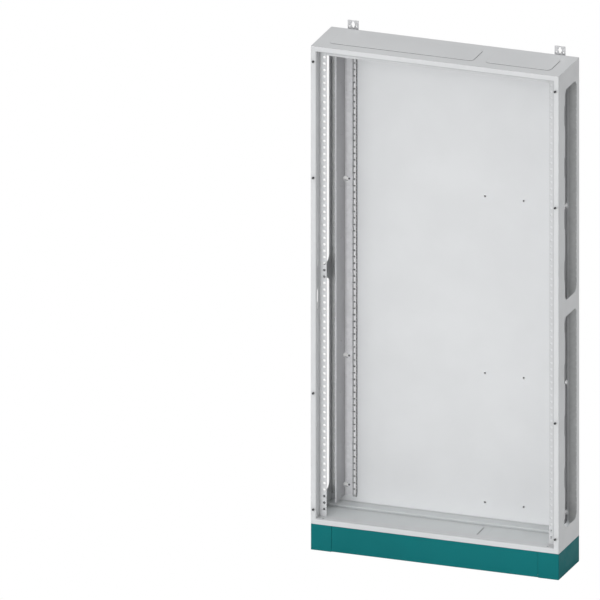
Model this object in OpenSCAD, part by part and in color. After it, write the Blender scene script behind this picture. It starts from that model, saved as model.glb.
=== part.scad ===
// Floor-standing switchboard cabinet body without a door, on a bolted plinth.
// X runs across the width, Y runs from front to back, Z is up. The origin is on the floor, centred in
// width and in overall depth.

/* [Cabinet] */
// Outer width of the cabinet body and of the plinth
body_w = 960; // [920:10:1200]
// Outer depth from the front face to the back wall
body_d = 220; // [220:5:260]
// Number of holes in each 25 mm raster row; eight more make the cabinet 200 mm taller
raster_rows = 71; // [55:8:79]
// Thickness of the side walls, roof and back wall
wall_t = 1.5; // [1.2:0.1:1.8]
// Thickness of the front frame, floor and uprights
frame_t = 2; // [1.5:0.1:2]

/* [Front frame] */
// Visible width of the front face all round
face_w = 22.5; // [20:0.5:25]
// Outside radius of the bend at the inner edge of the face
face_bend_r = 6; // [4:0.5:6]
// Depth of the returns behind the face
return_d = 35; // [30:1:38]
// Width of the perforated flange behind the return
flange_w = 27; // [24:0.5:28]
// Diameter of the raster holes in the front flanges
front_hole_d = 10; // [7:0.5:11]
// Height of the flange that hangs under the header
header_flange_h = 20; // [10:1:22]
// Depth of the ledge behind the front sill
sill_d = 42; // [40:1:44]
// Height of the slot for the door latches
latch_slot_h = 195; // [120:5:220]

/* [Side windows] */
// Distance of the windows from the front face
window_front = 68.5; // [66:0.5:72]
// Width of each side window
window_w = 125; // [110:1:126]
// Height of the bridge between the lower and upper window
window_bridge = 63; // [55:1:80]
// Corner radius of the windows
window_r = 25; // [15:1:30]
// Depth of the relief notches in the front edge of the windows
notch_d = 7; // [5:0.5:8]

/* [Rear frame] */
// Distance of the rear upright's web from the outer side face
web_x = 54; // [50:1:56]
// Distance of the web's front edge from the front face
web_front = 126; // [115:1:135]
// Width of the perforated rail beside the rear upright
rail_w = 12.5; // [11:0.5:14]
// Diameter of the raster holes in the rear rails
rail_hole_d = 6; // [4:0.5:7]

/* [Gland plates] */
// Width of the large gland plate
gland_large_w = 556; // [400:1:556]
// Width of the small gland plate
gland_small_w = 252; // [200:1:252]
// Corner radius of the gland plates
gland_r = 16; // [8:1:20]
// Thickness of the roof gaskets under the plates
gasket_t = 1; // [0.5:0.5:4]

/* [Wall lugs] */
// Width of each wall fixing lug
lug_w = 42; // [40:1:48]
// Height of the lugs above the roof
lug_rise = 29; // [28:1:34]
// Distance of the lug centres from the outer side faces
lug_x = 79.5; // [79:0.5:80]

/* [Plinth] */
// Height of the plinth
plinth_h = 100; // [100:10:200]
// Length of the plinth corners on the front and back
plinth_corner = 80; // [80:1:100]
// Thickness of the plinth sheet
plinth_t = 2; // [1.5:0.5:2.5]

/* [Hidden] */
$fn = 48;
EPS = 0.01;
RASTER = 25;
BIG_PITCH = 200;
body_h = (raster_rows + 3) * RASTER;
base_z = plinth_h;
top_z = base_z + body_h;
mid_z = base_z + body_h / 2;
raster_z0 = base_z + 2 * RASTER;
rail_margin = 5;
rail_z0 = raster_z0 - rail_margin;
rail_len = (raster_rows - 1) * RASTER + 2 * rail_margin;

// front frame
flange_x = face_w + flange_w;
frame_in_z0 = base_z + face_w;
frame_in_z1 = top_z - face_w;
front_hole_x = flange_x - 9;
flange_y = return_d - frame_t;

// the outer studs keep their distance from the ends, the inner ones their distance from mid height
STUD_Z = [base_z + 58, mid_z - 417, mid_z + 417, top_z - 58];
stud_x = 11.5;
stud_pin_d = 6;
stud_cap_d = 8.4;
stud_cap_l = 6;
stud_tip = 11;

// wall lugs
lug_t = 3;
lug_gap = 12;
lug_foot_z = top_z - 75;
lug_bend_z = top_z - 25;
lug_keyhole_z = top_z + 13;
lug_side_hole_x = 14;
lug_slot_w = 8;
lug_slot_z = 8.2;
lug_back = body_d + lug_gap + lug_t;
LUG_SCREW_Z = [top_z - 58, top_z - 36];
lug_screw_d = 8;

// the origin lies midway between the stud tips and the back of the lugs
mid_y = (lug_back - stud_tip) / 2;

// floor
floor_z = base_z + 12;
rear_step_y = 167;
rear_step_z = base_z + 22;

// rear frame
rear_y = body_d - wall_t;
rear_flange_y = rear_y - 5.5;
upright_w = 7;
rail_gap = 3;
rail_x = web_x + 34.5;
rail_hole_x = rail_x + 5.75;
rail_y = rear_y - 13.5;
rail_t = 1.5;
cleat_x = 61;
cleat_screw_x = 71.5;
cleat_screw_d = 4;
cleat_t = rear_y - rear_flange_y - frame_t;
CLEAT_Z = [base_z + 87, mid_z - 338, mid_z + 347, top_z - 78];
INSERT_X = [115.5, 265.5];
INSERT_Z = [base_z + 82.5, mid_z - 342.5, mid_z + 342.5, top_z - 82.5];
insert_d = 7;

// gland plates
gland_x = 53;
gland_gap = 48;
gland_y = 48.5;
gland_d = 118;
floor_gland_y = 47;
floor_gland_d = 104;
gland_lap = 14;
gland_t = 1.5;
floor_gasket_t = 1.5;
gland_small_x = gland_x + gland_large_w + gland_gap;
GLAND_SPANS = [[gland_x, gland_large_w], [gland_small_x, gland_small_w]];
// the floor plates lift out between the rear uprights, and the large one comes nearer to the small one
FLOOR_SPANS = [[gland_x + 4, gland_large_w + 7], [gland_small_x, gland_small_w - 6]];

// plinth
anchor_x = 45;
anchor_y = 30;
anchor_hole_d = 13;
plinth_bolt_x = 30;
plinth_bolt_y = 22;
plinth_bolt_d = 10;
plinth_bolt_head = 16;
bracket_t = 3;
plinth_pin_d = 5;
cover_gap = 0.5;
cover_flange = 18;
PIN_Z = [plinth_h * 0.3, plinth_h * 0.7];
pin_x = plinth_corner + 10;

// earth stud on the right rear upright
earth_z = base_z + 180;
earth_y = web_front + 30;
earth_d = 8;

// ---- placing ----

// children are drawn for the left side, with X from the outer side face and Y from the front face
module on_side(right) {
    mirror([right ? 1 : 0, 0, 0])
        translate([-body_w / 2, -mid_y, 0])
            children();
}

module on_both_sides() {
    on_side(false) children();
    on_side(true) children();
}

// children are drawn with X from the middle and Y from the front face
module centred() {
    translate([0, -mid_y, 0]) children();
}

// a flat shape drawn in Y and Z, given a thickness along X
module sheet_yz(x, t) {
    translate([x, 0, 0])
        rotate([90, 0, 90])
            linear_extrude(t)
                children();
}

// a flat shape drawn in X and Z, given a thickness along Y
module sheet_xz(y, t) {
    translate([0, y + t, 0])
        rotate([90, 0, 0])
            linear_extrude(t)
                children();
}

// ---- shapes that repeat ----

module box(lo, hi) {
    translate(lo) cube(hi - lo);
}

module rounded_square(size, r) {
    translate([r, 0]) square([size[0] - 2 * r, size[1]]);
    translate([0, r]) square([size[0], size[1] - 2 * r]);
    for (x = [r, size[0] - r], y = [r, size[1] - r])
        translate([x, y]) circle(r);
}

// the quarter ring of a bend whose outer corner, at the origin, opens towards -X and +Y
module bend_2d(r, t) {
    intersection() {
        translate([-r, 0]) square(r);
        translate([-r, r])
            difference() {
                circle(r);
                circle(r - t);
            }
    }
}

// a row of raster holes along the second axis of a flat shape
module raster_holes(x, d, pitch = RASTER, count = raster_rows) {
    for (i = [0:count - 1])
        translate([x, raster_z0 + i * pitch]) circle(d = d);
}

module hex(across_flats, h) {
    cylinder(d = across_flats / cos(30), h = h, $fn = 6);
}

// a cylinder that starts at y and runs towards the back
module rod_y(x, y, z, d, l) {
    translate([x, y, z]) rotate([-90, 0, 0]) cylinder(d = d, h = l);
}

// ---- front frame ----

// face, bend and return of the front frame, drawn with X across the face and Y to the back
module frame_section_2d(depth) {
    square([face_w - face_bend_r, frame_t]);
    translate([face_w, 0]) bend_2d(face_bend_r, frame_t);
    translate([face_w - frame_t, face_bend_r]) square([frame_t, depth - face_bend_r]);
}

// removes the material beyond the 45 degree joint at both ends of a frame member on the left side
module mitre_cuts_xz() {
    sheet_xz(-EPS, sill_d + 1)
        polygon([[-EPS, base_z - EPS], [face_w, frame_in_z0], [face_w + 1, base_z - EPS]]);
    sheet_xz(-EPS, sill_d + 1)
        polygon([[-EPS, top_z + EPS], [face_w, frame_in_z1], [face_w + 1, top_z + EPS]]);
}

module latch_slot() {
    slot_d = 12;
    sheet_yz(face_w - 2 * frame_t, 3 * frame_t)
        translate([5.5, mid_z - latch_slot_h / 2])
            rounded_square([slot_d, latch_slot_h], 3);
}

module stud_holes() {
    for (z = STUD_Z)
        rod_y(stud_x, -1, z, stud_pin_d, frame_t + 2);
}

module front_upright(right) {
    color("gainsboro") on_side(right) {
        difference() {
            translate([0, 0, base_z]) linear_extrude(body_h) frame_section_2d(return_d);
            mitre_cuts_xz();
            latch_slot();
            stud_holes();
        }
        sheet_xz(flange_y, frame_t)
            difference() {
                translate([face_w, frame_in_z0]) square([flange_w, frame_in_z1 - frame_in_z0]);
                raster_holes(front_hole_x, front_hole_d);
            }
    }
}

module front_upright_left() { front_upright(false); }
module front_upright_right() { front_upright(true); }

// the section of a horizontal frame member, cut to its mitred length
module frame_beam(depth) {
    intersection() {
        rotate([90, 0, 90])
            translate([0, 0, -body_w / 2])
                linear_extrude(body_w)
                    mirror([1, -1])
                        frame_section_2d(depth);
        sheet_xz(-1, depth + 2)
            polygon([
                [-body_w / 2, 0], [body_w / 2, 0],
                [body_w / 2 - face_w, face_w], [face_w - body_w / 2, face_w]
            ]);
    }
}

module front_header() {
    inner_w = body_w - 2 * flange_x;
    color("gainsboro") centred() {
        translate([0, 0, top_z]) mirror([0, 0, 1]) frame_beam(return_d);
        box([-inner_w / 2, flange_y, frame_in_z1 - header_flange_h],
            [inner_w / 2, return_d, frame_in_z1]);
    }
}

module front_sill() {
    sill_hole_x = 45;
    sill_hole_y = 10;
    sill_hole_d = 8;
    lip_x = body_w / 2 - face_w;
    color("gainsboro") centred()
        difference() {
            union() {
                translate([0, 0, base_z]) frame_beam(sill_d);
                box([-lip_x, sill_d - frame_t, floor_z - frame_t],
                    [lip_x, sill_d, frame_in_z0 - frame_t]);
            }
            for (side = [-1, 1])
                translate([side * (body_w / 2 - sill_hole_x), sill_hole_y, frame_in_z0 - 2 * frame_t])
                    cylinder(d = sill_hole_d, h = 3 * frame_t);
        }
}

// ---- shell ----

// one side window with its relief notches, drawn in Y and Z
module window_2d(z0, z1) {
    notch_h = 72;
    notch_end = 5;
    notch_z0 = base_z + 77;
    translate([window_front, z0]) rounded_square([window_w, z1 - z0], window_r);
    intersection() {
        translate([window_front - notch_d, z0])
            rounded_square([notch_d + window_w, z1 - z0], window_r);
        for (z = [notch_z0:BIG_PITCH:top_z])
            polygon([
                [window_front + window_r, z - notch_h / 2 - notch_end],
                [window_front, z - notch_h / 2 - notch_end],
                [window_front - notch_d, z - notch_h / 2],
                [window_front - notch_d, z + notch_h / 2],
                [window_front, z + notch_h / 2 + notch_end],
                [window_front + window_r, z + notch_h / 2 + notch_end]
            ]);
    }
}

module side_wall(right) {
    window_margin = 76.5;
    color("silver") on_side(right)
        sheet_yz(0, wall_t)
            difference() {
                translate([frame_t, base_z]) square([body_d - frame_t, body_h]);
                window_2d(base_z + window_margin, mid_z - window_bridge / 2);
                window_2d(mid_z + window_bridge / 2, top_z - window_margin);
            }
}

module side_wall_left() { side_wall(false); }
module side_wall_right() { side_wall(true); }

// an area in the XY plane that stands for a gland plate, shrunk on all sides by inset
module gland_area_2d(span, y, d, inset) {
    translate([span[0] - body_w / 2 + inset, y + inset])
        rounded_square([span[1] - 2 * inset, d - 2 * inset], max(gland_r - inset, 4));
}

module roof_panel() {
    color("gainsboro") centred()
        translate([0, 0, top_z - wall_t])
            linear_extrude(wall_t)
                difference() {
                    translate([wall_t - body_w / 2, frame_t])
                        square([body_w - 2 * wall_t, rear_y - frame_t]);
                    for (s = GLAND_SPANS)
                        gland_area_2d(s, gland_y, gland_d, gland_lap);
                }
}

module floor_panel() {
    w = body_w / 2 - wall_t;
    color("lightgray") centred() {
        translate([0, 0, floor_z - frame_t])
            linear_extrude(frame_t)
                difference() {
                    translate([-w, sill_d]) square([2 * w, rear_step_y + frame_t - sill_d]);
                    for (s = FLOOR_SPANS)
                        gland_area_2d(s, floor_gland_y, floor_gland_d, gland_lap);
                }
        box([-w, rear_step_y, floor_z - EPS], [w, rear_step_y + frame_t, rear_step_z]);
        box([-w, rear_step_y + frame_t - EPS, rear_step_z - frame_t], [w, rear_y, rear_step_z]);
    }
}

module back_wall() {
    w = body_w / 2 - wall_t;
    color("lightgray") centred()
        sheet_xz(rear_y, wall_t)
            difference() {
                translate([-w, base_z]) square([2 * w, body_h]);
                for (x = INSERT_X, z = INSERT_Z)
                    translate([x, z]) circle(d = insert_d);
                for (side = [-1, 1], z = LUG_SCREW_Z)
                    translate([side * (body_w / 2 - lug_x), z]) circle(d = lug_screw_d);
            }
}

// threaded inserts, blind towards the back
module back_wall_inserts() {
    flange_d = 10;
    thread_d = 4.2;
    insert_l = 10;
    color("silver") centred()
        for (x = INSERT_X, z = INSERT_Z)
            difference() {
                union() {
                    rod_y(x, rear_y - 1, z, flange_d, 1);
                    rod_y(x, rear_y - EPS, z, insert_d, insert_l);
                }
                rod_y(x, rear_y - 2, z, thread_d, insert_l - 1);
            }
}

// ---- rear frame ----

// a folded profile: outer leg, narrow front edge, web and a flange towards the middle
module rear_upright(right) {
    leg_x = web_x - upright_w;
    back_y = rear_flange_y + frame_t;
    cut_front = rear_flange_y - 14;
    cut_x = web_x + 13;
    cut_h = 18;
    web_hole_d = 8;
    web_hole_y = web_front + 49;
    web_hole_z0 = base_z + 55;
    web_hole_z1 = top_z - 100;
    color("darkgray") on_side(right)
        difference() {
            translate([0, 0, rail_z0])
                linear_extrude(rail_len) {
                    translate([leg_x, web_front]) square([upright_w, frame_t]);
                    translate([leg_x, web_front]) square([frame_t, back_y - web_front]);
                    translate([web_x - frame_t, web_front]) square([frame_t, back_y - web_front]);
                    translate([web_x - frame_t, rear_flange_y])
                        square([rail_x - rail_gap - web_x + frame_t, frame_t]);
                }
            // a cleat of the back wall shows in each of these cut-outs at the bend
            for (z = CLEAT_Z) {
                box([leg_x - 1, cut_front, z - cut_h / 2], [cut_x, back_y + 1, z + cut_h / 2]);
                rod_y(cleat_screw_x, rear_flange_y - 1, z, cleat_screw_d, frame_t + 2);
            }
            for (z = [web_hole_z0:BIG_PITCH:web_hole_z1])
                translate([leg_x - 1, web_hole_y, z])
                    rotate([0, 90, 0])
                        cylinder(d = web_hole_d, h = upright_w + 2);
        }
}

module rear_upright_left() { rear_upright(false); }
module rear_upright_right() { rear_upright(true); }

// a channel with raster holes in its face and a finer row in the side towards the middle
module rear_rail(right) {
    leg_d = rear_y - rail_y - rail_t;
    fine_hole_y = rear_y - 6;
    fine_hole_d = 4;
    color("lightgray") on_side(right) {
        sheet_xz(rail_y, rail_t)
            difference() {
                translate([rail_x, rail_z0]) square([rail_w, rail_len]);
                raster_holes(rail_hole_x, rail_hole_d);
            }
        box([rail_x, rail_y + rail_t - EPS, rail_z0], [rail_x + rail_t, rear_y, rail_z0 + rail_len]);
        sheet_yz(rail_x + rail_w - rail_t, rail_t)
            difference() {
                translate([rail_y + rail_t - EPS, rail_z0]) square([leg_d + EPS, rail_len]);
                raster_holes(fine_hole_y, fine_hole_d, RASTER / 2, 2 * raster_rows - 1);
            }
    }
}

module rear_rail_left() { rear_rail(false); }
module rear_rail_right() { rear_rail(true); }

module corner_strip(right) {
    strip_w = 38;
    strip_hole_x = 12;
    color("gray") on_side(right)
        sheet_xz(rear_y - frame_t, frame_t)
            difference() {
                translate([wall_t, rail_z0]) square([strip_w, rail_len]);
                raster_holes(strip_hole_x, rail_hole_d);
            }
}

module corner_strip_left() { corner_strip(false); }
module corner_strip_right() { corner_strip(true); }

// tilted straps on the back wall that take the screws of the rear upright
module rail_cleats(right) {
    strap_l = 34;
    strap_w = 13;
    tilt = 14;
    color("whitesmoke") on_side(right)
        for (z = CLEAT_Z)
            difference() {
                translate([cleat_x, rear_flange_y + frame_t, z])
                    rotate([0, tilt, 0])
                        translate([-strap_l / 2, 0, -strap_w / 2])
                            cube([strap_l, cleat_t, strap_w]);
                rod_y(cleat_screw_x, rear_flange_y, z, cleat_screw_d, cleat_t + frame_t + 1);
            }
}

module rail_cleats_left() { rail_cleats(false); }
module rail_cleats_right() { rail_cleats(true); }

module cleat_screws() {
    head_d = 7;
    head_h = 2.5;
    color("dimgray") on_both_sides()
        for (z = CLEAT_Z) {
            rod_y(cleat_screw_x, rear_flange_y - head_h, z, head_d, head_h);
            rod_y(cleat_screw_x, rear_flange_y - EPS, z, cleat_screw_d, frame_t + cleat_t);
        }
}

// ---- gland plates ----

module gland_plate(span, y, d, z) {
    centred()
        translate([0, 0, z])
            linear_extrude(gland_t)
                gland_area_2d(span, y, d, 0);
}

// a closed ring of seal that is set back under the plate's edge
module gland_gasket(span, y, d, z, t) {
    set_back = 1.5;
    centred()
        translate([0, 0, z])
            linear_extrude(t)
                difference() {
                    gland_area_2d(span, y, d, set_back);
                    gland_area_2d(span, y, d, gland_lap - 1);
                }
}

module roof_gasket_large() {
    color("black") gland_gasket(GLAND_SPANS[0], gland_y, gland_d, top_z, gasket_t);
}

module roof_gasket_small() {
    color("black") gland_gasket(GLAND_SPANS[1], gland_y, gland_d, top_z, gasket_t);
}

module roof_gland_plate_large() {
    color("gainsboro") gland_plate(GLAND_SPANS[0], gland_y, gland_d, top_z + gasket_t);
}

module roof_gland_plate_small() {
    color("gainsboro") gland_plate(GLAND_SPANS[1], gland_y, gland_d, top_z + gasket_t);
}

module floor_gasket_large() {
    color("black") gland_gasket(FLOOR_SPANS[0], floor_gland_y, floor_gland_d, floor_z, floor_gasket_t);
}

module floor_gasket_small() {
    color("black") gland_gasket(FLOOR_SPANS[1], floor_gland_y, floor_gland_d, floor_z, floor_gasket_t);
}

module floor_gland_plate_large() {
    color("lightgray")
        gland_plate(FLOOR_SPANS[0], floor_gland_y, floor_gland_d, floor_z + floor_gasket_t);
}

module floor_gland_plate_small() {
    color("lightgray")
        gland_plate(FLOOR_SPANS[1], floor_gland_y, floor_gland_d, floor_z + floor_gasket_t);
}

// ---- studs on the front face ----

module stud_pins() {
    stud_inside = 8;
    color("silver") on_both_sides()
        for (z = STUD_Z)
            rod_y(stud_x, stud_cap_l - stud_tip, z, stud_pin_d, stud_tip - stud_cap_l + stud_inside);
}

module stud_caps() {
    color("black") on_both_sides()
        for (z = STUD_Z)
            rod_y(stud_x, -stud_tip, z, stud_cap_d, stud_cap_l);
}

// ---- wall lugs ----

module wall_lug(right) {
    keyhole_d = 14.5;
    side_hole_d = 6;
    side_hole_z = top_z + 5;
    color("silver") on_side(right)
        difference() {
            sheet_yz(lug_x - lug_w / 2, lug_w)
                polygon([
                    [body_d, lug_foot_z], [body_d + lug_t, lug_foot_z],
                    [body_d + lug_t, lug_bend_z], [lug_back, lug_bend_z + lug_gap],
                    [lug_back, top_z + lug_rise], [lug_back - lug_t, top_z + lug_rise],
                    [lug_back - lug_t, lug_bend_z + lug_gap + 1], [body_d, lug_bend_z + 1]
                ]);
            // keyhole with a slot above and below
            rod_y(lug_x, body_d, lug_keyhole_z, keyhole_d, lug_back - body_d + 1);
            for (dz = [-lug_slot_z, lug_slot_z])
                rod_y(lug_x, body_d, lug_keyhole_z + dz, lug_slot_w, lug_back - body_d + 1);
            box([lug_x - lug_slot_w / 2, body_d + lug_gap - 1, lug_keyhole_z - lug_slot_z],
                [lug_x + lug_slot_w / 2, lug_back + 1, lug_keyhole_z + lug_slot_z]);
            for (side = [-1, 1])
                rod_y(lug_x + side * lug_side_hole_x, body_d + lug_t + 1, side_hole_z, side_hole_d, lug_gap);
            for (z = LUG_SCREW_Z)
                rod_y(lug_x, body_d - 1, z, lug_screw_d, lug_t + 2);
        }
}

module wall_lug_left() { wall_lug(false); }
module wall_lug_right() { wall_lug(true); }

module lug_screws() {
    head_h = 5;
    head_w = 13;
    nut_side_y = rear_flange_y + frame_t;
    color("silver") on_both_sides()
        for (z = LUG_SCREW_Z) {
            translate([lug_x, body_d + lug_t + head_h, z]) rotate([90, 0, 0]) hex(head_w, head_h);
            rod_y(lug_x, nut_side_y, z, lug_screw_d, body_d + lug_t + EPS - nut_side_y);
        }
}

module lug_nuts() {
    nut_t = rear_y - rear_flange_y - frame_t;
    nut_w = 11;
    color("silver") on_both_sides()
        for (z = LUG_SCREW_Z)
            difference() {
                translate([lug_x, rear_y, z]) rotate([90, 30, 0]) hex(nut_w, nut_t);
                rod_y(lug_x, rear_y - nut_t - 1, z, lug_screw_d, nut_t + 2);
            }
}

// ---- plinth ----

module base_corner_brackets() {
    bracket_w = 60;
    bracket_d = 42;
    color("silver") on_both_sides()
        for (y = [frame_t, body_d - bracket_d])
            difference() {
                box([wall_t, y, base_z], [bracket_w, y + bracket_d - frame_t, base_z + bracket_t]);
                translate([plinth_bolt_x, y < bracket_d ? plinth_bolt_y : body_d - plinth_bolt_y, base_z - 1])
                    cylinder(d = plinth_bolt_d, h = bracket_t + 2);
            }
}

// a corner box that wraps the front, the side and the back, open towards the middle
module plinth_side(right) {
    t = plinth_t;
    cable_x = 22;
    cable_y = 52;
    color("teal") on_side(right)
        difference() {
            cube([plinth_corner, body_d, plinth_h]);
            box([t, t, t], [plinth_corner + 1, body_d - t, plinth_h - t]);
            box([cable_x, cable_y, -1], [plinth_corner + 1, body_d - cable_y, plinth_h + 1]);
            for (y = [anchor_y, body_d - anchor_y])
                translate([anchor_x, y, -1])
                    cylinder(d = anchor_hole_d, h = t + 2);
            for (y = [plinth_bolt_y, body_d - plinth_bolt_y])
                translate([plinth_bolt_x, y, plinth_h - t - 1])
                    cylinder(d = plinth_bolt_d, h = t + 2);
        }
}

module plinth_side_left() { plinth_side(false); }
module plinth_side_right() { plinth_side(true); }

// a removable cover between the corners, drawn for the front
module plinth_cover() {
    w = body_w / 2 - plinth_corner - cover_gap;
    t = plinth_t;
    box([-w, 0, cover_gap], [w, t, plinth_h - cover_gap]);
    for (z = [cover_gap, plinth_h - cover_gap - t])
        box([t - w, t - EPS, z], [w - t, t + cover_flange, z + t]);
}

module on_plinth_back() {
    translate([0, body_d, 0]) mirror([0, 1, 0]) children();
}

module plinth_front_cover() {
    color("teal") centred() plinth_cover();
}

module plinth_rear_cover() {
    color("teal") centred() on_plinth_back() plinth_cover();
}

// snap pins behind a cover
module cover_pins() {
    pin_l = 10;
    for (side = [-1, 1], z = PIN_Z)
        rod_y(side * (body_w / 2 - pin_x), plinth_t, z, plinth_pin_d, pin_l);
}

module plinth_front_pins() {
    color("dimgray") centred() cover_pins();
}

module plinth_rear_pins() {
    color("dimgray") centred() on_plinth_back() cover_pins();
}

// stepped tabs on the corners that take the snap pins
module plinth_cover_tabs() {
    tab_h = 39;
    root_x = plinth_corner - 25;
    step_x = plinth_corner - 12;
    tip_x = pin_x + 9;
    t = plinth_t;
    color("teal") on_both_sides()
        for (back = [0, 1], z = PIN_Z)
            translate([0, back * body_d, 0])
                mirror([0, back, 0])
                    difference() {
                        union() {
                            box([root_x, t, z - tab_h / 2], [plinth_corner - 1, 2 * t, z + tab_h / 2]);
                            box([step_x, 2 * t - EPS, z - tab_h / 2], [tip_x, 3 * t, z + tab_h / 2]);
                        }
                        rod_y(pin_x, 0, z, plinth_pin_d + 0.2, 3 * t + 1);
                    }
}

module plinth_bolts() {
    head_h = 6.4;
    shank_l = plinth_t + bracket_t + 6;
    color("silver") on_both_sides()
        for (y = [plinth_bolt_y, body_d - plinth_bolt_y])
            translate([plinth_bolt_x, y, plinth_h - plinth_t - head_h]) {
                hex(plinth_bolt_head, head_h);
                translate([0, 0, head_h - EPS]) cylinder(d = plinth_bolt_d, h = shank_l);
            }
}

module plinth_nuts() {
    nut_h = 5.5;
    color("silver") on_both_sides()
        for (y = [plinth_bolt_y, body_d - plinth_bolt_y])
            translate([plinth_bolt_x, y, base_z + bracket_t])
                difference() {
                    hex(plinth_bolt_head, nut_h);
                    translate([0, 0, -1]) cylinder(d = plinth_bolt_d, h = nut_h + 2);
                }
}

// ---- earthing ----

module earth_stud() {
    stud_l = 22;
    color("goldenrod") on_side(true)
        translate([web_x, earth_y, earth_z])
            rotate([0, 90, 0])
                cylinder(d = earth_d, h = stud_l);
}

module earth_nuts() {
    nut_w = 13;
    nut_h = 6;
    NUT_X = [web_x + 2, web_x + 11];
    color("silver") on_side(true)
        for (x = NUT_X)
            translate([x, earth_y, earth_z])
                rotate([0, 90, 0])
                    difference() {
                        hex(nut_w, nut_h);
                        translate([0, 0, -1]) cylinder(d = earth_d, h = nut_h + 2);
                    }
}

side_wall_left();
side_wall_right();
front_upright_left();
front_upright_right();
front_header();
front_sill();
roof_panel();
floor_panel();
back_wall();
rear_upright_left();
rear_upright_right();
rear_rail_left();
rear_rail_right();
corner_strip_left();
corner_strip_right();
rail_cleats_left();
rail_cleats_right();
cleat_screws();
back_wall_inserts();
roof_gasket_large();
roof_gasket_small();
roof_gland_plate_large();
roof_gland_plate_small();
floor_gasket_large();
floor_gasket_small();
floor_gland_plate_large();
floor_gland_plate_small();
stud_pins();
stud_caps();
wall_lug_left();
wall_lug_right();
lug_screws();
lug_nuts();
base_corner_brackets();
plinth_side_left();
plinth_side_right();
plinth_front_cover();
plinth_rear_cover();
plinth_front_pins();
plinth_rear_pins();
plinth_cover_tabs();
plinth_bolts();
plinth_nuts();
earth_stud();
earth_nuts();
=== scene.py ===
"""Looks of the switchboard cabinet: folded sheet metal with true bends, punched holes and rounded edges."""

import math

import bmesh
import bpy
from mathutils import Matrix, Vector


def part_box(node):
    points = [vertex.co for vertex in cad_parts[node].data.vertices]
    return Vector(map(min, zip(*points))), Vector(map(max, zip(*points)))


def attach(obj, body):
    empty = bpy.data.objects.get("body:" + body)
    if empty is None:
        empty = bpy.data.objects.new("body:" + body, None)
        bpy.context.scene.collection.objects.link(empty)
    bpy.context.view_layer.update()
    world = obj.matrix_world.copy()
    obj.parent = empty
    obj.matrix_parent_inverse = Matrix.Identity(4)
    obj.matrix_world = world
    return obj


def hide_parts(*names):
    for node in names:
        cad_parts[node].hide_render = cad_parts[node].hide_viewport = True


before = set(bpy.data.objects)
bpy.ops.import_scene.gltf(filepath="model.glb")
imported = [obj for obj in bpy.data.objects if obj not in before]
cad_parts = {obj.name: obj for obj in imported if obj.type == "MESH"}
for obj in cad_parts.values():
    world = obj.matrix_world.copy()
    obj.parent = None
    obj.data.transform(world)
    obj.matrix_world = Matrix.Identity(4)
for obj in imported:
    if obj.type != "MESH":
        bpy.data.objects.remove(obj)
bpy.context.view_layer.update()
MM = 0.001

# ---- places, in mm: x from the middle, y from the front face, z from the floor ----

Y_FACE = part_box("front_header")[0].y


def mm_box(node):
    lo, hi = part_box(node)
    shift = Vector((0, Y_FACE, 0))
    return (lo - shift) / MM, (hi - shift) / MM


WALL_LO, WALL_HI = mm_box("side_wall_left")
HALF = -WALL_LO.x
BASE, TOP, DEPTH = WALL_LO.z, WALL_HI.z, WALL_HI.y
MID = (BASE + TOP) / 2
SHEET, FRAME = 1.5, 2.0                          # thickness of the panels and of the front frame
INNER = DEPTH - SHEET                            # inside face of the back wall
FACE = 22.5                                      # visible width of the front face
HOLE_Z = [BASE + 50 + 25 * i for i in range(71)]
STUD_Z = [BASE + 58, MID - 417, MID + 417, TOP - 58]
CLEAT_Z = [BASE + 87, MID - 338, MID + 347, TOP - 78]
LUG_SCREW_Z = [TOP - 58, TOP - 36]
LUG_X = 79.5
STUD_U, STUD_Y = 11.5, -5                        # the front studs' pins start behind the face
STRAP_U, SCREW_U = 61, 71.5                      # the back wall's straps and their screws
PIN_U, PIN_Z = 90, [30, 70]
INSERT_X = [115.5, 265.5]
INSERT_Z = [BASE + 82.5, MID - 342.5, MID + 342.5, TOP - 82.5]
SIDES = (("left", 1), ("right", -1))


def on_side(side, u, y, z):
    """A point given by its distance from the outer side face."""
    return (side * (u - HALF), y, z)


# ---- flat outlines ----

def circle(x, y, d, n=24):
    return [(x + d / 2 * math.cos(2 * math.pi * i / n), y + d / 2 * math.sin(2 * math.pi * i / n))
            for i in range(n)]


def rounded(points, steps=5):
    """A polygon of (x, y, radius) with its corners rounded."""
    out = []
    for i, (x, y, r) in enumerate(points):
        p = Vector((x, y))
        a = Vector(points[i - 1][:2]) - p
        b = Vector(points[(i + 1) % len(points)][:2]) - p
        if r <= 0:
            out.append((x, y))
            continue
        a.normalize()
        b.normalize()
        half = a.angle(b) / 2
        centre = p + (a + b).normalized() * (r / math.sin(half))
        start = p + a * (r / math.tan(half)) - centre
        end = p + b * (r / math.tan(half)) - centre
        turn = start.angle_signed(end)
        base = math.atan2(start.y, start.x)
        for k in range(steps + 1):
            phi = base - turn * k / steps
            out.append((centre.x + r * math.cos(phi), centre.y + r * math.sin(phi)))
    return out


def rectangle(x0, y0, x1, y1, r=0, steps=5):
    return rounded([(x0, y0, r), (x1, y0, r), (x1, y1, r), (x0, y1, r)], steps)


def inset(loop, dists):
    """Moves each edge of a loop to its left by its own distance."""
    n = len(loop)
    normals = []
    for i in range(n):
        dx, dy = loop[(i + 1) % n][0] - loop[i][0], loop[(i + 1) % n][1] - loop[i][1]
        size = math.hypot(dx, dy)
        normals.append((-dy / size, dx / size))
    out = []
    for i in range(n):
        (ax, ay), (bx, by) = normals[i - 1], normals[i]
        da, db = dists[i - 1], dists[i]
        det = ax * by - ay * bx
        if abs(det) < 0.02:
            mx, my, d = (ax + bx) / 2, (ay + by) / 2, (da + db) / 2
            size = math.hypot(mx, my)
            v = (mx / size * d, my / size * d)
        else:
            v = ((da * by - db * ay) / det, (ax * db - bx * da) / det)
        out.append((loop[i][0] + v[0], loop[i][1] + v[1]))
    return out


# ---- folded sheet ----

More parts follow.
